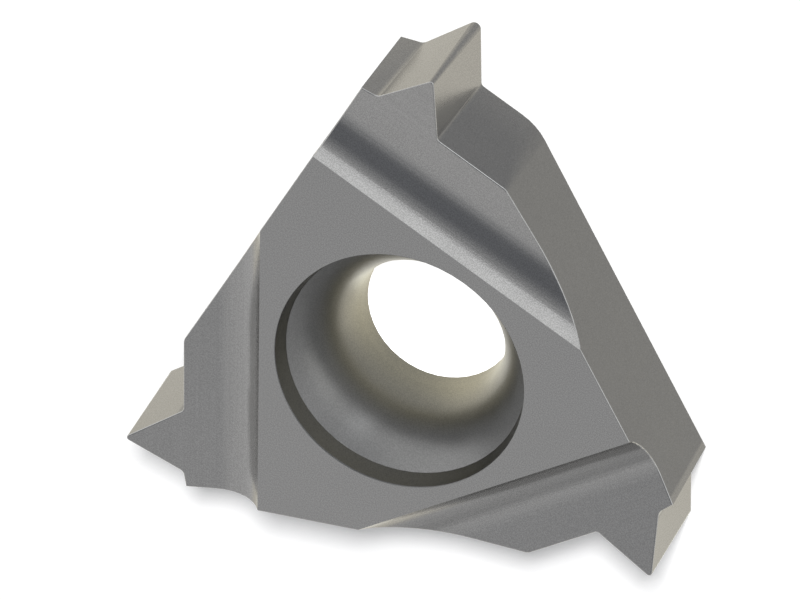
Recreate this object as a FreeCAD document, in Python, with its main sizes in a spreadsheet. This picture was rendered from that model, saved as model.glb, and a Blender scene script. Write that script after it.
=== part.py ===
import FreeCAD, Part
import math
import os

import Sketcher
from FreeCAD import Vector

# A flat indexable threading insert, pressed and ground from one piece of cemented carbide.
# It lies on its rest face. The origin is where the axis of the screw hole meets that face,
# and +Z is the side of the cutting edges. One of the three teeth points to the front, -Y.

PART_NAME = "threading_insert"

# The driving dimensions, in millimetres and degrees, with what each one is. "Low" means at
# the rest face, and a reach is a distance from the axis of the screw hole.
DRIVING_SIZES = [
    ("corner_count", 3, "cutting corners, with one tooth each"),
    ("inscribed_circle", 9.525, "circle that touches the three long sides"),
    ("thickness", 3.45, "rest face to top face"),
    ("shoulder_reach", 5.77, "shoulders beside a tooth, at the top face"),
    ("short_shoulder_reach", 5.73, "outer end of the short shoulder"),
    ("tooth_reach", 7.28, "sharp apex of a tooth, at the top face"),
    ("tooth_offset", 1.31, "apex to the long side beside the short shoulder"),
    ("low_tooth_offset", 1.33, "the same at the rest face"),
    ("half_angle", 30.7, "half of the tooth's angle, seen from above"),
    ("low_short_half_angle", 27.5, "half angle at the rest face, towards the short shoulder"),
    ("low_long_half_angle", 32.4, "half angle at the rest face, towards the long shoulder"),
    ("front_lean", 3.15, "lean of tooth and shoulders, outwards to the rest face"),
    ("nose_radius", 0.08, "nose of a tooth, at the top face"),
    ("low_nose_radius", 0.16, "nose of a tooth, at the rest face"),
    ("short_root_radius", 0.22, "hollow corner between short shoulder and tooth"),
    ("long_root_radius", 0.14, "hollow corner between tooth and long shoulder"),
    ("shoulder_end_radius", 0.05, "long shoulder to long side, at the top face"),
    ("low_shoulder_end_radius", 1.6, "long shoulder to long side, at the rest face"),
    ("recess_reach", 3.633, "brink of a rake recess, a line in the top face"),
    ("recess_radius", 1.23, "hollow of the recess"),
    ("rake_tilt", 12.5, "rise of the rake face towards the apex"),
    ("rake_depth", 0.457, "rake face under the top face, at the shoulders"),
    ("mouth_radius", 3.22, "mouth of the screw hole"),
    ("wall_foot_radius", 3.115, "foot of the short wall under the mouth"),
    ("wall_depth", 0.53, "mouth to the foot of that wall"),
    ("seat_radius", 3.08, "rounded seat that the head of the screw pulls against"),
    ("bore_radius", 1.97, "straight lower part of the screw hole"),
    ("hone_radius", 0.03, "rounding of the cutting edges and of the brinks beside them"),
    ("rim_radius", 0.03, "rounding of the mouth and of the foot of its wall"),
    ("cutter_spare", 1, "how far a cutting profile stands clear of the solid"),
    ("cutter_reach", 9, "outer end of a recess cutter, past the apex"),
    ("cutter_length", 20, "length of a recess cutter, past both long sides"),
]

# The height of a face's unit normal, below which the face counts as upright, and above which
# it counts as one that looks up.
UPRIGHT = 0.1
LOOKS_UP = 0.3


def make_sheet(doc):
    """Put the driving dimensions into a sheet, one a row: name, value, meaning."""
    sheet = doc.addObject("Spreadsheet::Sheet", "Sizes")
    for row, (alias, value, meaning) in enumerate(DRIVING_SIZES, start=1):
        sheet.set("A%d" % row, alias)
        sheet.set("B%d" % row, str(value))
        sheet.set("C%d" % row, meaning)
        sheet.setAlias("B%d" % row, alias)
    doc.recompute()
    return sheet


def origin_item(body, role):
    """Find one of the body's own origin planes or axes."""
    return next(item for item in body.Origin.OriginFeatures if item.Role == role)


def add_sketch(body, name, role):
    """Add an empty sketch on one of the body's origin planes."""
    sketch = body.newObject("Sketcher::SketchObject", name)
    sketch.AttachmentSupport = (origin_item(body, role), [""])
    sketch.MapMode = "FlatFace"
    return sketch


def add_line(sketch, start, end):
    """Draw a straight side and return its number in the sketch."""
    return sketch.addGeometry(Part.LineSegment(start, end))


def add_arc(sketch, centre, radius, start, end):
    """Draw the arc that runs anticlockwise from one point to another."""
    circle = Part.Circle(centre, Vector(0, 0, 1), radius)
    start_angle = math.atan2(start.y - centre.y, start.x - centre.x)
    end_angle = math.atan2(end.y - centre.y, end.x - centre.x)
    return sketch.addGeometry(Part.ArcOfCircle(circle, start_angle, end_angle))


def constrain(sketch, kind, *places):
    """Add a geometric constraint, such as Coincident or Vertical."""
    sketch.addConstraint(Sketcher.Constraint(kind, *places))


def bind(sketch, expression, kind, *places):
    """Add a dimension and tie it to the sheet. The last of its places is a first value."""
    index = sketch.addConstraint(Sketcher.Constraint(kind, *places))
    sketch.setExpression("Constraints[%d]" % index, expression)


def hold(sketch, geometry, end, x_expression, y_expression, point):
    """Hold one end of a line or arc at its two distances from the sketch's origin."""
    bind(sketch, x_expression, "DistanceX", -1, 1, geometry, end, point.x)
    bind(sketch, y_expression, "DistanceY", -1, 1, geometry, end, point.y)


def round_off(before, corner, after, radius):
    """Work out the arc that rounds a corner: centre, end on either side, and turn to the left."""
    towards_before = (before - corner).normalize()
    towards_after = (after - corner).normalize()
    half_opening = towards_before.getAngle(towards_after) / 2
    bisector = (towards_before + towards_after).normalize()
    run_in = radius / math.tan(half_opening)
    centre = corner + bisector * (radius / math.sin(half_opening))
    turns_left = towards_before.cross(towards_after).z < 0
    return centre, corner + towards_before * run_in, corner + towards_after * run_in, turns_left


def draw_outline(sketch, sheet, corners):
    """Draw a closed outline, anticlockwise, through corners given as x, y and radius.

    All three are expressions of the sheet. Each side lies on the line through the sharp corners
    at its two ends. A corner that has a radius is rounded by an arc that touches both its sides.
    """
    sharp = [Vector(sheet.evalExpression(x), sheet.evalExpression(y)) for x, y, radius in corners]
    count = len(corners)
    side_starts = list(sharp)
    side_ends = list(sharp)
    roundings = {}
    for index, (x, y, radius) in enumerate(corners):
        if radius:
            size = sheet.evalExpression(radius)
            rounding = round_off(sharp[index - 1], sharp[index], sharp[(index + 1) % count], size)
            centre, side_ends[index], side_starts[index], turns_left = rounding
            roundings[index] = (size, centre, turns_left)
    sides = [add_line(sketch, side_starts[i], side_ends[(i + 1) % count]) for i in range(count)]
    for index, (x, y, radius) in enumerate(corners):
        side_in = sides[index - 1]
        side_out = sides[index]
        if not radius:
            constrain(sketch, "Coincident", side_in, 2, side_out, 1)
            hold(sketch, side_out, 1, x, y, sharp[index])
            continue
        size, centre, turns_left = roundings[index]
        ends = [side_ends[index], side_starts[index]]
        if turns_left:
            arc = add_arc(sketch, centre, size, ends[0], ends[1])
            constrain(sketch, "Tangent", side_in, 2, arc, 1)
            constrain(sketch, "Tangent", arc, 2, side_out, 1)
        else:
            arc = add_arc(sketch, centre, size, ends[1], ends[0])
            constrain(sketch, "Tangent", side_in, 2, arc, 2)
            constrain(sketch, "Tangent", arc, 1, side_out, 1)
        bind(sketch, radius, "Radius", arc, size)
        sharp_corner = sketch.addGeometry(Part.Point(sharp[index]), True)
        constrain(sketch, "PointOnObject", sharp_corner, 1, side_in)
        constrain(sketch, "PointOnObject", sharp_corner, 1, side_out)
        hold(sketch, sharp_corner, 1, x, y, sharp[index])


def third_of_outline(lean, offset, long_angle, short_angle, nose_radius, end_radius):
    """Give the corners of one third of the insert's outline, round the front tooth.

    They go anticlockwise from the hole axis: middle of a long side, outer end of the long
    shoulder, root, apex, root, outer end of the short shoulder, middle of the next long side.
    """
    turn = "(360 deg / Sizes.corner_count)"
    side = "(Sizes.inscribed_circle / 2)"
    shoulder = "(Sizes.shoulder_reach + %s)" % lean
    height = "(Sizes.tooth_reach - Sizes.shoulder_reach)"
    end_x = "(%s - %s * sin%s) / cos%s" % (side, shoulder, turn, turn)
    apex_x = "(%s - %s)" % (side, offset)
    apex_y = "-(Sizes.tooth_reach + %s)" % lean
    long_root_x = "%s - %s * tan(%s * 1 deg)" % (apex_x, height, long_angle)
    short_root_x = "%s + %s * tan(%s * 1 deg)" % (apex_x, height, short_angle)
    return [
        ("0", "0", None),
        ("%s * cos%s" % (side, turn), "-%s * sin%s" % (side, turn), None),
        (end_x, "-%s" % shoulder, end_radius),
        (long_root_x, "-%s" % shoulder, "Sizes.long_root_radius"),
        (apex_x, apex_y, nose_radius),
        (short_root_x, "-%s" % shoulder, "Sizes.short_root_radius"),
        (side, "-Sizes.short_shoulder_reach", None),
        (side, "0", None),
    ]


def repeat_at_corners(body, feature, name):
    """Repeat a feature round the hole axis, once for each corner."""
    pattern = body.newObject("PartDesign::PolarPattern", name)
    pattern.Originals = [feature]
    pattern.Axis = (origin_item(body, "Z_Axis"), [""])
    pattern.Angle = 360
    pattern.setExpression("Occurrences", "Sizes.corner_count")
    body.Tip = pattern
    return pattern


def add_blank(body, sheet):
    """Build the pressed blank: a third that runs from rest face to top face, at each corner.

    Only the long sides stand upright. The tooth and the shoulders lean out towards the rest
    face, and the end of the long shoulder, sharp at the top, is well rounded there.
    """
    low_corners = third_of_outline(
        lean="Sizes.thickness * tan(Sizes.front_lean * 1 deg)",
        offset="Sizes.low_tooth_offset",
        long_angle="Sizes.low_long_half_angle",
        short_angle="Sizes.low_short_half_angle",
        nose_radius="Sizes.low_nose_radius",
        end_radius="Sizes.low_shoulder_end_radius",
    )
    top_corners = third_of_outline(
        lean="0",
        offset="Sizes.tooth_offset",
        long_angle="Sizes.half_angle",
        short_angle="Sizes.half_angle",
        nose_radius="Sizes.nose_radius",
        end_radius="Sizes.shoulder_end_radius",
    )
    low = add_sketch(body, "third_at_rest_face", "XY_Plane")
    draw_outline(low, sheet, low_corners)
    top = add_sketch(body, "third_at_top_face", "XY_Plane")
    top.setExpression("AttachmentOffset.Base.z", "Sizes.thickness")
    draw_outline(top, sheet, top_corners)
    third = body.newObject("PartDesign::AdditiveLoft", "third_of_blank")
    third.Profile = (low, [""])
    third.Sections = [(top, [""])]
    third.Ruled = True
    return repeat_at_corners(body, third, "blank")


def draw_recess_profile(sketch, sheet):
    """Draw the section of the front recess, with the room above it that the cutter takes.

    The hollow starts at the brink in the top face and runs on, without a kink, into the
    straight rake line, which passes the shoulders at the rake depth and rises to the front.
    """
    rise = math.tan(math.radians(sheet.rake_tilt))
    lid_height = sheet.thickness + sheet.cutter_spare
    gauge_point = Vector(-sheet.shoulder_reach, sheet.thickness - sheet.rake_depth)
    brink_point = Vector(-sheet.recess_reach, sheet.thickness)
    centre = brink_point + Vector(-sheet.recess_radius, sheet.recess_radius / 2)
    touch_point = centre - Vector(0, sheet.recess_radius)
    outer_point = gauge_point + Vector(-1, rise) * (sheet.cutter_reach - sheet.shoulder_reach)
    outer_lid_point = Vector(outer_point.x, lid_height)
    inner_lid_point = Vector(brink_point.x, lid_height)

    hollow = add_arc(sketch, centre, sheet.recess_radius, touch_point, brink_point)
    inner_end = add_line(sketch, brink_point, inner_lid_point)
    lid = add_line(sketch, inner_lid_point, outer_lid_point)
    outer_end = add_line(sketch, outer_lid_point, outer_point)
    rake = add_line(sketch, outer_point, touch_point)
    gauge = sketch.addGeometry(Part.Point(gauge_point), True)

    constrain(sketch, "Coincident", hollow, 2, inner_end, 1)
    constrain(sketch, "Coincident", inner_end, 2, lid, 1)
    constrain(sketch, "Coincident", lid, 2, outer_end, 1)
    constrain(sketch, "Coincident", outer_end, 2, rake, 1)
    constrain(sketch, "Tangent", rake, 2, hollow, 1)
    constrain(sketch, "PointOnObject", gauge, 1, rake)
    constrain(sketch, "Vertical", inner_end)
    constrain(sketch, "Horizontal", lid)
    constrain(sketch, "Vertical", outer_end)

    top = "Sizes.thickness"
    hold(sketch, gauge, 1, "-Sizes.shoulder_reach", "Sizes.thickness - Sizes.rake_depth", gauge_point)
    hold(sketch, inner_end, 1, "-Sizes.recess_reach", top, brink_point)
    hold(sketch, outer_end, 1, "-Sizes.cutter_reach", top + " + Sizes.cutter_spare", outer_lid_point)
    bind(sketch, "Sizes.recess_radius", "Radius", hollow, sheet.recess_radius)
    bind(sketch, "-Sizes.rake_tilt * 1 deg", "Angle", rake, -math.radians(sheet.rake_tilt))


def add_rake_recesses(body, sheet):
    """Grind a recess straight across each corner, behind its tooth."""
    profile = add_sketch(body, "recess_profile", "YZ_Plane")
    draw_recess_profile(profile, sheet)
    recess = body.newObject("PartDesign::Pocket", "front_recess")
    recess.Profile = (profile, [""])
    recess.SideType = "Symmetric"
    recess.setExpression("Length", "Sizes.cutter_length")
    return repeat_at_corners(body, recess, "rake_recesses")


def draw_hole_profile(sketch, sheet):
    """Draw half of the screw hole's section, from its axis to the front.

    The short wall narrows a little below the mouth. From its foot the rounded seat curves
    down and in, and runs on, without a kink, into the straight bore.
    """
    lid_height = sheet.thickness + sheet.cutter_spare
    foot_point = Vector(-sheet.wall_foot_radius, sheet.thickness - sheet.wall_depth)
    mouth_point = Vector(-sheet.mouth_radius, sheet.thickness)
    seat_reach = sheet.bore_radius + sheet.seat_radius
    seat_drop = math.sqrt(sheet.seat_radius ** 2 - (seat_reach - sheet.wall_foot_radius) ** 2)
    centre = Vector(-seat_reach, foot_point.y - seat_drop)
    bore_top_point = Vector(-sheet.bore_radius, centre.y)
    bore_low_point = Vector(-sheet.bore_radius, -sheet.cutter_spare)
    axis_low_point = Vector(0, -sheet.cutter_spare)
    axis_lid_point = Vector(0, lid_height)
    mouth_lid_point = Vector(-sheet.mouth_radius, lid_height)

    below = add_line(sketch, axis_low_point, bore_low_point)
    bore = add_line(sketch, bore_low_point, bore_top_point)
    seat = add_arc(sketch, centre, sheet.seat_radius, bore_top_point, foot_point)
    wall = add_line(sketch, foot_point, mouth_point)
    over_mouth = add_line(sketch, mouth_point, mouth_lid_point)
    lid = add_line(sketch, mouth_lid_point, axis_lid_point)
    axis = add_line(sketch, axis_lid_point, axis_low_point)

    constrain(sketch, "Coincident", below, 2, bore, 1)
    constrain(sketch, "Tangent", bore, 2, seat, 1)
    constrain(sketch, "Coincident", seat, 2, wall, 1)
    constrain(sketch, "Coincident", wall, 2, over_mouth, 1)
    constrain(sketch, "Coincident", over_mouth, 2, lid, 1)
    constrain(sketch, "Coincident", lid, 2, axis, 1)
    constrain(sketch, "Coincident", axis, 2, below, 1)
    constrain(sketch, "PointOnObject", axis, 1, -2)
    constrain(sketch, "Vertical", axis)
    constrain(sketch, "Horizontal", below)
    constrain(sketch, "Vertical", bore)
    constrain(sketch, "Vertical", over_mouth)
    constrain(sketch, "Horizontal", lid)

    top = "Sizes.thickness"
    hold(sketch, bore, 1, "-Sizes.bore_radius", "-Sizes.cutter_spare", bore_low_point)
    hold(sketch, wall, 1, "-Sizes.wall_foot_radius", top + " - Sizes.wall_depth", foot_point)
    hold(sketch, wall, 2, "-Sizes.mouth_radius", top, mouth_point)
    bind(sketch, top + " + Sizes.cutter_spare", "DistanceY", -1, 1, lid, 1, lid_height)
    bind(sketch, "Sizes.seat_radius", "Radius", seat, sheet.seat_radius)


def add_screw_hole(body, sheet):
    """Turn the screw hole out of the blank."""
    profile = add_sketch(body, "hole_profile", "YZ_Plane")
    draw_hole_profile(profile, sheet)
    hole = body.newObject("PartDesign::Groove", "screw_hole")
    hole.Profile = (profile, [""])
    hole.ReferenceAxis = (profile, ["V_Axis"])
    hole.Angle = 360
    return hole


def steepness(face, point):
    """Say how far a face looks up at a point: 1 is level and looks up, 0 is upright."""
    return face.normalAt(*face.Surface.parameter(point)).z


def pick_edges(shape, wanted):
    """Name the edges whose middle point and two neighbouring faces pass a test."""
    names = []
    for number, edge in enumerate(shape.Edges, start=1):
        middle = edge.valueAt((edge.FirstParameter + edge.LastParameter) / 2)
        faces = shape.ancestorsOfType(edge, Part.Face)
        lower, upper = sorted(steepness(face, middle) for face in (faces[0], faces[-1]))
        if wanted(middle, lower, upper):
            names.append("Edge%d" % number)
    return names


def round_edges(body, base, name, edges, radius):
    """Round the named edges of the feature before."""
    rounding = body.newObject("PartDesign::Fillet", name)
    rounding.Base = (base, edges)
    rounding.setExpression("Radius", radius)
    return rounding


def add_honed_edges(body, sheet, base):
    """Hone the edges where the top face, the recesses and the rake faces meet the walls."""
    def is_honed(middle, lower, upper):
        outside_hole = math.hypot(middle.x, middle.y) > sheet.recess_reach
        return outside_hole and lower < UPRIGHT and upper > LOOKS_UP

    return round_edges(body, base, "honed_edges", pick_edges(base.Shape, is_honed), "Sizes.hone_radius")


def add_rim(body, sheet, base):
    """Round the mouth of the screw hole, and the hollow corner where its wall meets the seat."""
    def is_rim(middle, lower, upper):
        in_hole = math.hypot(middle.x, middle.y) < sheet.recess_reach
        return in_hole and middle.z > sheet.thickness - sheet.wall_depth - sheet.rim_radius

    return round_edges(body, base, "rounded_rim", pick_edges(base.Shape, is_rim), "Sizes.rim_radius")


def check_sketches(doc):
    """Stop if a sketch has a size that nothing fixes."""
    for sketch in doc.findObjects("Sketcher::SketchObject"):
        if not sketch.FullyConstrained:
            raise ValueError("%s isn't fully constrained" % sketch.Label)


def check_features(doc, steps):
    """Stop if an object has failed, or if a step that removes material removed none."""
    for item in doc.Objects:
        if "Invalid" in item.State or "Error" in item.State:
            raise ValueError("%s has failed: %s" % (item.Label, item.State))
    for before, after in zip(steps, steps[1:]):
        if after.Shape.isNull() or not after.Shape.isValid():
            raise ValueError("%s has no valid shape" % after.Label)
        if abs(before.Shape.Volume - after.Shape.Volume) < 1e-6:
            raise ValueError("%s changes nothing" % after.Label)


def write_part(body):
    """Write the insert's solid to the folder of parts."""
    if len(body.Shape.Solids) != 1:
        raise ValueError("%s isn't one solid" % body.Label)
    os.makedirs("parts", exist_ok=True)
    body.Shape.exportStep("parts/%s.step" % body.Label)


doc = FreeCAD.newDocument(PART_NAME)
sheet = make_sheet(doc)
insert = doc.addObject("PartDesign::Body", PART_NAME)
insert.Label = PART_NAME
insert.Placement = FreeCAD.Placement()

blank = add_blank(insert, sheet)
doc.recompute()
recesses = add_rake_recesses(insert, sheet)
hole = add_screw_hole(insert, sheet)
doc.recompute()
honed = add_honed_edges(insert, sheet, hole)
doc.recompute()
rim = add_rim(insert, sheet, honed)
doc.recompute()

check_sketches(doc)
check_features(doc, [blank, recesses, hole, honed, rim])
write_part(insert)
print("volume %.2f mm3, %d faces" % (insert.Shape.Volume, len(insert.Shape.Faces)))
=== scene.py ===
import math

import bpy
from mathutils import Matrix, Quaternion, Vector


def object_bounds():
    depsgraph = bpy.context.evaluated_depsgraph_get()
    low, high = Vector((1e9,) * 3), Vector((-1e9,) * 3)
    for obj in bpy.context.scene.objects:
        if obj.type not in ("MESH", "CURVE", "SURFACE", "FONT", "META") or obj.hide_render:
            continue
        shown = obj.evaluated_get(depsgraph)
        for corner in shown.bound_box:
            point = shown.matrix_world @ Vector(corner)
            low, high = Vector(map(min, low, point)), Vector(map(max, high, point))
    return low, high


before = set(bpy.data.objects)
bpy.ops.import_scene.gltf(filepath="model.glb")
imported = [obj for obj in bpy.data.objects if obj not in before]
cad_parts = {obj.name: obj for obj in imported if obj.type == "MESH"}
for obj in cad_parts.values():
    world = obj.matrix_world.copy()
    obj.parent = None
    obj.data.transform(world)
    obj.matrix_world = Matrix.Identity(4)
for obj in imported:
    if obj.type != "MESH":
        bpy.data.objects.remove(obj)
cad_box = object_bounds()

# The insert is one solid of cemented carbide: tungsten carbide grains in a little cobalt,
# pressed and sintered. Its top face, recesses and teeth are ground to a satin grey, and the
# cutting edges are honed and painted light as a painted highlight. The sides and the hole
# keep the skin of the furnace. Low in the bore a warm painted light is laid on it, and on the
# wall at the mouth of the hole a painted shade.


def feed(tree, socket, source):
    """Link an input to another node's output, or give it a plain value."""
    if isinstance(source, bpy.types.NodeSocket):
        tree.links.new(source, socket)
    else:
        socket.default_value = source


def arithmetic(tree, operation, *sources):
    """One step of arithmetic on numbers."""
    node = tree.nodes.new("ShaderNodeMath")
    node.operation = operation
    for socket, source in zip(node.inputs, sources):
        feed(tree, socket, source)
    return node.outputs["Value"]


def vector_arithmetic(tree, operation, first, second=(0, 0, 0), result="Vector"):
    """One step of arithmetic on vectors. The second source of SCALE is a number."""
    node = tree.nodes.new("ShaderNodeVectorMath")
    node.operation = operation
    feed(tree, node.inputs[0], first)
    feed(tree, node.inputs["Scale" if operation == "SCALE" else 1], second)
    return node.outputs[result]


def dot(tree, first, second):
    """The dot product of two vectors."""
    return vector_arithmetic(tree, "DOT_PRODUCT", first, second, "Value")


def length(tree, vector):
    """The length of a vector."""
    return vector_arithmetic(tree, "LENGTH", vector, result="Value")


def axis_parts(tree, vector):
    """The parts of a vector along X, Y and Z, by name."""
    node = tree.nodes.new("ShaderNodeSeparateXYZ")
    tree.links.new(vector, node.inputs["Vector"])
    return node.outputs


def product(tree, *shares):
    """The product of any number of shares."""
    result = shares[0]
    for share in shares[1:]:
        result = arithmetic(tree, "MULTIPLY", result, share)
    return result


def largest(tree, *shares):
    """The largest of any number of shares."""
    result = shares[0]
    for share in shares[1:]:
        result = arithmetic(tree, "MAXIMUM", result, share)
    return result


def ramp(tree, source, limits, results=(0.0, 1.0)):
    """A smooth step from the first result to the second while the source passes the limits."""
    node = tree.nodes.new("ShaderNodeMapRange")
    node.interpolation_type = "SMOOTHSTEP"
    names = ("Value", "From Min", "From Max", "To Min", "To Max")
    for name, value in zip(names, (source, *limits, *results)):
        feed(tree, node.inputs[name], value)
    return node.outputs["Result"]


def blend(tree, share, first, second):
    """Mix two colours by a share from 0 to 1."""
    node = tree.nodes.new("ShaderNodeMix")
    node.data_type = "RGBA"
    for name, value in (("Factor", share), ("A", first), ("B", second)):
        socket = next(s for s in node.inputs if s.name == name and s.enabled)
        feed(tree, socket, value)
    return next(s for s in node.outputs if s.enabled)


def noise(tree, place, size, detail):
    """Noise of a place over a size, stretched so that it fills 0 to 1."""
    node = tree.nodes.new("ShaderNodeTexNoise")
    node.inputs["Scale"].default_value = 1 / size
    node.inputs["Detail"].default_value = detail
    tree.links.new(place, node.inputs["Vector"])
    return ramp(tree, node.outputs["Fac"], (0.25, 0.75))


# Where a region of a corner begins and where it is full, in metres, and for a hollow as the
# share of the normal that points to the side, from which it fades.
BRINK_REACHES = (0.00357, 0.00361)
RAKE_REACHES = (0.0053, 0.0054)
HOLLOW_SHARES = (0.08, 0.16)
TOOTH_ROOT_REACHES = (0.00587, 0.00603)
SHORT_SHOULDER_REACHES = (0.0055, 0.0056)
SHORT_SHOULDER_SIDES = (0.0042, 0.0043)
FALLING = (1.0, 0.0)


def corner_regions(tree, place, normal):
    """The reach, and masks of the ground teeth and of the recesses' hollows, of all corners.

    A corner's reach is the dot product of a place and the corner's direction. Its side is the
    same with the direction a quarter turn on, towards the short shoulder. A tooth is what lies
    beyond the roots, or beyond the recess near the short side. A hollow's normal has no part
    to the side, and that tells it from the honed edges beside it.
    """
    reach, teeth, hollows = -1.0, 0.0, 0.0
    for corner in range(3):
        angle = math.radians(-90 + 120 * corner)
        outward = (math.cos(angle), math.sin(angle), 0)
        sideways = (-math.sin(angle), math.cos(angle), 0)
        corner_reach = dot(tree, place, outward)
        corner_side = dot(tree, place, sideways)
        turn = arithmetic(tree, "ABSOLUTE", dot(tree, normal, sideways))
        past_root = ramp(tree, corner_reach, TOOTH_ROOT_REACHES)
        # The short shoulder is counted with the tooth, so it takes the lighter ground grey.
        short_shoulder = product(tree, ramp(tree, corner_reach, SHORT_SHOULDER_REACHES),
                                 ramp(tree, corner_side, SHORT_SHOULDER_SIDES))
        hollow = product(tree, ramp(tree, corner_reach, BRINK_REACHES),
                         ramp(tree, corner_reach, RAKE_REACHES, FALLING),
                         ramp(tree, turn, HOLLOW_SHARES, FALLING))
        reach = largest(tree, reach, corner_reach)
        teeth = largest(tree, teeth, past_root, short_shoulder)
        hollows = largest(tree, hollows, hollow)
    return reach, teeth, hollows


MARK_SIZE = 0.00005
MARK_WANDER = 0.02


def wheel_marks(tree, place, reach):
    """Marks of the grinding wheel, from -0.5 to 0.5, each straight across its corner.

    They are noise of a place that moves fast with the reach and slowly in every direction.
    """
    across = tree.nodes.new("ShaderNodeCombineXYZ")
    tree.links.new(reach, across.inputs["X"])
    wander = vector_arithmetic(tree, "SCALE", place, MARK_WANDER)
    mark_place = vector_arithmetic(tree, "ADD", across.outputs["Vector"], wander)
    return arithmetic(tree, "SUBTRACT", noise(tree, mark_place, MARK_SIZE, 2.0), 0.5)


GROUND_GREY = (0.56, 0.555, 0.545, 1)
SKIN_GREY = (0.415, 0.417, 0.422, 1)
# The honed edges' light grey is a painted highlight, lighter than the faces beside them.
HONED_HIGHLIGHT_GREY = (0.88, 0.88, 0.87, 1)
SEAT_GREY = (0.47, 0.47, 0.465, 1)
# The bore's warm straw colour is painted light: the warm light that bounces up the bore from the
# floor.
BORE_PAINTED_WARM_LIGHT = (0.61, 0.585, 0.47, 1)
# The wall at the hole's mouth is painted dark: painted shade inside the hole.
WALL_PAINTED_SHADE = (0.275, 0.275, 0.27, 1)
GROUND_ROUGHNESS = 0.15
SKIN_ROUGHNESS = 0.28
HOLE_ROUGHNESS = 0.30

GRAIN_SIZE = 0.00003
GRAIN_SHADES = (0.88, 1.12)
GRAIN_RELIEF = 0.7
CLOUD_SIZE = 0.0012
CLOUD_ROUGHNESS = 0.05
MARK_SHADE = 0.05
MARK_RELIEF = 0.6
MICROMETRE = 0.000001

# Where a finish, a painted light or a painted shade begins and where it is full, in metres
# from the hole axis or the rest face, and as the share of the normal that points up.
MOUTH_RADII = (0.00322, 0.00324)
# Between these heights the painted warm light in the bore fades into the seat's grey.
WARM_LIGHT_HEIGHTS = (0.0004, 0.0023)
# Above these heights the wall at the mouth takes the painted shade.
WALL_FOOT_HEIGHTS = (0.00291, 0.00293)
TOP_HEIGHTS = (cad_box[1][2] - 0.00006, cad_box[1][2] - 0.00001)
REST_FACE_SHARES = (-0.9, -0.8)
UPRIGHT_SHARES = (0.12, 0.2)
LOOKS_UP_SHARES = (0.15, 0.4)
LEVEL_SHARES = (0.85, 0.93)


def carbide_material():
    """Satin metal in its several finishes, with grain everywhere and wheel marks in the recesses.

    A face is ground where it looks up outside the hole, or lies on a tooth or underneath. A
    honed edge is a narrow face between a level one and an upright one, outside the hollows,
    and it is painted light as a highlight. The hole is painted a warm straw light low in the
    bore at the rest face, is grey on the seat, and is painted dark with shade on the wall at
    its mouth.
    """
    material = bpy.data.materials.new("sintered_carbide")
    material.use_nodes = True
    tree = material.node_tree
    shader = tree.nodes["Principled BSDF"]
    shader.inputs["Metallic"].default_value = 1.0

    place = tree.nodes.new("ShaderNodeTexCoord").outputs["Object"]
    height = axis_parts(tree, place)["Z"]
    radius = length(tree, vector_arithmetic(tree, "MULTIPLY", place, (1, 1, 0)))
    normal = tree.nodes.new("ShaderNodeNewGeometry").outputs["Normal"]
    upward = axis_parts(tree, normal)["Z"]
    reach, teeth, hollows = corner_regions(tree, place, normal)

    rest_face = ramp(tree, upward, REST_FACE_SHARES, FALLING)
    outside_hole = largest(tree, ramp(tree, radius, MOUTH_RADII), rest_face)
    looks_up = product(tree, outside_hole, ramp(tree, upward, LOOKS_UP_SHARES))
    ground = largest(tree, teeth, rest_face, looks_up)
    outside_hollows = arithmetic(tree, "SUBTRACT", 1.0, hollows)
    # Mask of the honed edges, which carry the painted highlight.
    honed_highlight = product(tree, outside_hole, outside_hollows, ramp(tree, upward, UPRIGHT_SHARES),
                    ramp(tree, upward, LEVEL_SHARES, FALLING))
    in_recess = product(tree, looks_up, ramp(tree, height, TOP_HEIGHTS, FALLING))

    grain = noise(tree, place, GRAIN_SIZE, 2.0)
    cloud = noise(tree, place, CLOUD_SIZE, 3.0)
    marks = product(tree, in_recess, wheel_marks(tree, place, reach))

    # Low in the bore the colour is painted warm light, and on the wall at the mouth it is painted
    # shade.
    hole_skin_and_painted_light = blend(tree, ramp(tree, height, WARM_LIGHT_HEIGHTS), BORE_PAINTED_WARM_LIGHT, SEAT_GREY)
    # The wall at the mouth is painted dark with shade.
    hole_skin_and_painted_light = blend(tree, ramp(tree, height, WALL_FOOT_HEIGHTS), hole_skin_and_painted_light, WALL_PAINTED_SHADE)
    # The colour holds the finishes, the painted highlight on the honed edges, and the painted light
    # and shade in the hole.
    base_colour = blend(tree, ground, SKIN_GREY, GROUND_GREY)
    # The honed edges are painted light: a painted highlight.
    base_colour = blend(tree, honed_highlight, base_colour, HONED_HIGHLIGHT_GREY)
    base_colour = blend(tree, outside_hole, hole_skin_and_painted_light, base_colour)
    shade = arithmetic(tree, "ADD", ramp(tree, grain, (0.0, 1.0), GRAIN_SHADES),
                       product(tree, marks, MARK_SHADE))
    tree.links.new(vector_arithmetic(tree, "SCALE", base_colour, shade), shader.inputs["Base Color"])

    outside_roughness = ramp(tree, ground, (0.0, 1.0), (SKIN_ROUGHNESS, GROUND_ROUGHNESS))
    roughness = ramp(tree, outside_hole, (0.0, 1.0), (HOLE_ROUGHNESS, outside_roughness))
    roughness = arithmetic(tree, "ADD", roughness, product(tree, cloud, CLOUD_ROUGHNESS))
    tree.links.new(roughness, shader.inputs["Roughness"])

    bump = tree.nodes.new("ShaderNodeBump")
    bump.inputs["Strength"].default_value = 1.0
    bump.inputs["Distance"].default_value = MICROMETRE
    relief = arithmetic(tree, "ADD", product(tree, grain, GRAIN_RELIEF),
                        product(tree, marks, MARK_RELIEF))
    tree.links.new(relief, bump.inputs["Height"])
    tree.links.new(bump.outputs["Normal"], shader.inputs["Normal"])
    return material


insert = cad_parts["threading_insert"]
insert.material_slots[0].material = carbide_material()


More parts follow.
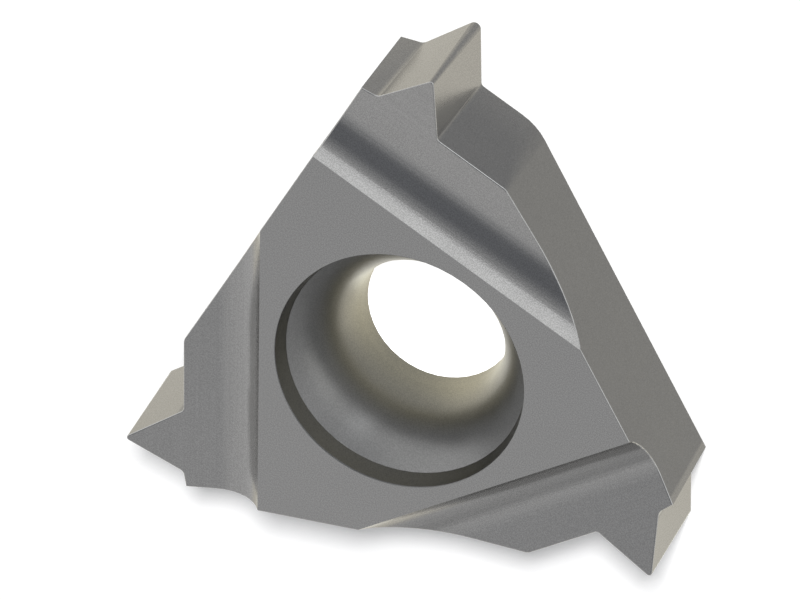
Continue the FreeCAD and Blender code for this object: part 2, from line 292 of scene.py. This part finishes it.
# The insert lies on a plain pale floor that glows a little, so that it shows as white, and
# glows most under the hole, a painted light that keeps the floor seen through the bore white
# where the insert would shade it. It isn't mirrored in the metal, whose reflections come from
# the studio all round, as on a sheet of glass.
FLOOR_WIDTH = 0.6
FLOOR_HEIGHT = -0.00002
FLOOR_WHITE = (0.9, 0.9, 0.9, 1)
FLOOR_ROUGHNESS = 0.9
FLOOR_GLOW = 0.13
# Under the hole the floor's glow is painted light, which keeps the floor there out of the insert's
# shade.
HOLE_GLOW = 0.95
GLOW_RADII = (0.0022, 0.004)


def pale_floor():
    """A square floor just under the rest face."""
    half = FLOOR_WIDTH / 2
    corners = [(x * half, y * half, FLOOR_HEIGHT) for x, y in ((-1, -1), (1, -1), (1, 1), (-1, 1))]
    mesh = bpy.data.meshes.new("floor")
    mesh.from_pydata(corners, [], [(0, 1, 2, 3)])
    material = bpy.data.materials.new("pale_floor")
    material.use_nodes = True
    tree = material.node_tree
    shader = tree.nodes["Principled BSDF"]
    shader.inputs["Base Color"].default_value = FLOOR_WHITE
    shader.inputs["Roughness"].default_value = FLOOR_ROUGHNESS
    shader.inputs["Emission Strength"].default_value = 1.0
    radius = length(tree, tree.nodes.new("ShaderNodeTexCoord").outputs["Object"])
    glow = ramp(tree, radius, GLOW_RADII, (HOLE_GLOW, FLOOR_GLOW))
    tree.links.new(glow, shader.inputs["Emission Color"])
    mesh.materials.append(material)
    floor = bpy.data.objects.new("floor", mesh)
    bpy.context.scene.collection.objects.link(floor)
    floor.visible_glossy = False
    return floor


pale_floor()


# The studio is a dome: grey above, and below it the white ground, bright at the back and in
# the shade at the front. On the dome stand soft boxes, which add light, and dark cards, which
# take some away. The metal mirrors only the dome, so they give its faces their brightness.
DOME_ABOVE = (0.535, 0.536, 0.54, 1)
GROUND_SHADE = (0.31, 0.31, 0.312, 1)
GROUND_LIGHT = (0.62, 0.595, 0.53, 1)
GROUND_BACKWARD = (-0.80, 0.35)
HORIZON_HEIGHTS = (-0.45, -0.05)
# middle, half width and its softness, half height and its softness, light it adds
SOFT_BOXES = [
    # box low at the front, and the dark camera and its cards over the top
    ((0, -0.966, 0.259), 0.09, 0.06, 0.285, 0.03, (0.44, 0.45, 0.46)),
    ((0, -0.208, 0.978), 0.38, 0.25, 0.60, 0.40, (-0.385, -0.38, -0.37)),
    # cards at the back, on the -X side, between that side and the camera, and on the +X side
    ((0, 0.85, 0.53), 0.70, 0.30, 0.30, 0.20, (-0.045, -0.045, -0.045)),
    ((-0.92, 0.25, 0.30), 0.70, 0.20, 0.45, 0.15, (-0.23, -0.23, -0.23)),
    ((-0.55, -0.50, 0.66), 0.15, 0.15, 0.20, 0.15, (-0.08, -0.08, -0.07)),
    ((0.85, 0.48, 0.18), 0.25, 0.15, 0.20, 0.15, (-0.25, -0.25, -0.25)),
    # low strip at the front on the -X side
    ((-0.74, -0.62, 0.22), 0.45, 0.15, 0.10, 0.06, (0.28, 0.28, 0.26)),
    # the lit ground behind the insert, seen in the bore and on the flanks
    ((0.06, 0.62, -0.785), 0.35, 0.25, 0.10, 0.25, (0.80, 0.80, 0.75)),
    ((-0.36, 0.58, -0.73), 0.11, 0.08, 0.15, 0.10, (0.62, 0.62, 0.54)),
]


def soft_edge(tree, distance, half, softness):
    """1 inside half, 0 outside it, with a smooth step between half less and half plus softness."""
    limits = (arithmetic(tree, "SUBTRACT", half, softness), arithmetic(tree, "ADD", half, softness))
    return ramp(tree, arithmetic(tree, "ABSOLUTE", distance), limits, FALLING)


def soft_box_group():
    """Sky with one soft box added: the box's light times the soft edges of its width and height.

    A direction's places across the box are its dot products with the box's own axes. Nothing
    is added on the far side of the dome, where the dot product with the middle is negative.
    """
    tree = bpy.data.node_groups.new("soft_box", "ShaderNodeTree")
    for kind, names in (("Color", ("Sky",)),
                        ("Vector", ("Direction", "Middle", "Sideways", "Upward", "Light")),
                        ("Float", ("Half Width", "Width Softness", "Half Height", "Height Softness"))):
        for name in names:
            tree.interface.new_socket(name, in_out="INPUT", socket_type="NodeSocket" + kind)
    tree.interface.new_socket("Sky", in_out="OUTPUT", socket_type="NodeSocketColor")
    inputs = tree.nodes.new("NodeGroupInput").outputs
    outputs = tree.nodes.new("NodeGroupOutput").inputs
    direction = inputs["Direction"]
    in_front = arithmetic(tree, "GREATER_THAN", dot(tree, direction, inputs["Middle"]), 0.0)
    width = soft_edge(tree, dot(tree, direction, inputs["Sideways"]),
                      inputs["Half Width"], inputs["Width Softness"])
    height = soft_edge(tree, dot(tree, direction, inputs["Upward"]),
                       inputs["Half Height"], inputs["Height Softness"])
    patch = vector_arithmetic(tree, "SCALE", inputs["Light"], product(tree, in_front, width, height))
    tree.links.new(vector_arithmetic(tree, "ADD", inputs["Sky"], patch), outputs["Sky"])
    return tree


def studio_dome():
    """Mix the dome by height, shade its lower half from back to front, and chain the soft boxes."""
    world = bpy.data.worlds.new("studio")
    world.use_nodes = True
    tree = world.node_tree
    direction = tree.nodes.new("ShaderNodeTexCoord").outputs["Generated"]
    axes = axis_parts(tree, direction)
    ground = blend(tree, ramp(tree, axes["Y"], GROUND_BACKWARD), GROUND_SHADE, GROUND_LIGHT)
    sky = blend(tree, ramp(tree, axes["Z"], HORIZON_HEIGHTS), ground, DOME_ABOVE)
    group = soft_box_group()
    for middle, half_width, width_softness, half_height, height_softness, light in SOFT_BOXES:
        box = tree.nodes.new("ShaderNodeGroup")
        box.node_tree = group
        middle = Vector(middle).normalized()
        sideways = Vector((0, 0, 1)).cross(middle).normalized()
        for name, value in (("Sky", sky), ("Direction", direction), ("Middle", middle),
                            ("Sideways", sideways), ("Upward", middle.cross(sideways)),
                            ("Half Width", half_width), ("Width Softness", width_softness),
                            ("Half Height", half_height), ("Height Softness", height_softness),
                            ("Light", light)):
            feed(tree, box.inputs[name], value)
        sky = box.outputs["Sky"]
    tree.links.new(sky, tree.nodes["Background"].inputs["Color"])
    bpy.context.scene.world = world


studio_dome()


# A soft area light over the front gives the soft shadow on the floor behind and beside the
# insert. It isn't mirrored in the metal, which shows the dome alone.
KEY_PLACE = Vector((0.026, -0.167, 0.22))
KEY_WIDTH = 0.045
KEY_POWER = 0.72


def area_light(name, place, target, width, power):
    """A square light of the given width that looks at a target."""
    data = bpy.data.lights.new(name, "AREA")
    data.shape = "SQUARE"
    data.size = width
    data.energy = power
    light = bpy.data.objects.new(name, data)
    bpy.context.scene.collection.objects.link(light)
    light.location = place
    light.rotation_mode = "QUATERNION"
    light.rotation_quaternion = (target - place).to_track_quat("-Z", "Y")
    light.visible_glossy = False
    return light


area_light("key", KEY_PLACE, Vector((0, 0, 0)), KEY_WIDTH, KEY_POWER)


# The camera looks down on the cutting side from over the front tooth, and it is turned
# about its own axis, so that the front tooth stands at the top of the picture.
CAMERA_TARGET = Vector((0.000994, -0.000779, 0.002))
CAMERA_DISTANCE = 0.127596
CAMERA_AZIMUTH = math.radians(0.9727)
CAMERA_ELEVATION = math.radians(56.2484)
CAMERA_ROLL = math.radians(-144.8802)
CAMERA_LENS = 232.9446
SENSOR_WIDTH = 36
NEAREST_SHOWN = 0.01
FARTHEST_SHOWN = 2


def photo_camera():
    """Stand the camera off from its target along the azimuth and the elevation, then roll it."""
    level = math.cos(CAMERA_ELEVATION)
    away = Vector((math.sin(CAMERA_AZIMUTH) * level, -math.cos(CAMERA_AZIMUTH) * level,
                   math.sin(CAMERA_ELEVATION)))
    data = bpy.data.cameras.new("camera")
    data.lens = CAMERA_LENS
    data.sensor_width = SENSOR_WIDTH
    data.clip_start = NEAREST_SHOWN
    data.clip_end = FARTHEST_SHOWN
    camera = bpy.data.objects.new("camera", data)
    bpy.context.scene.collection.objects.link(camera)
    camera.location = CAMERA_TARGET + away * CAMERA_DISTANCE
    camera.rotation_mode = "QUATERNION"
    camera.rotation_quaternion = (-away).to_track_quat("-Z", "Y") @ Quaternion((0, 0, 1), CAMERA_ROLL)
    bpy.context.scene.camera = camera


photo_camera()
bpy.context.scene.view_settings.view_transform = "Standard"
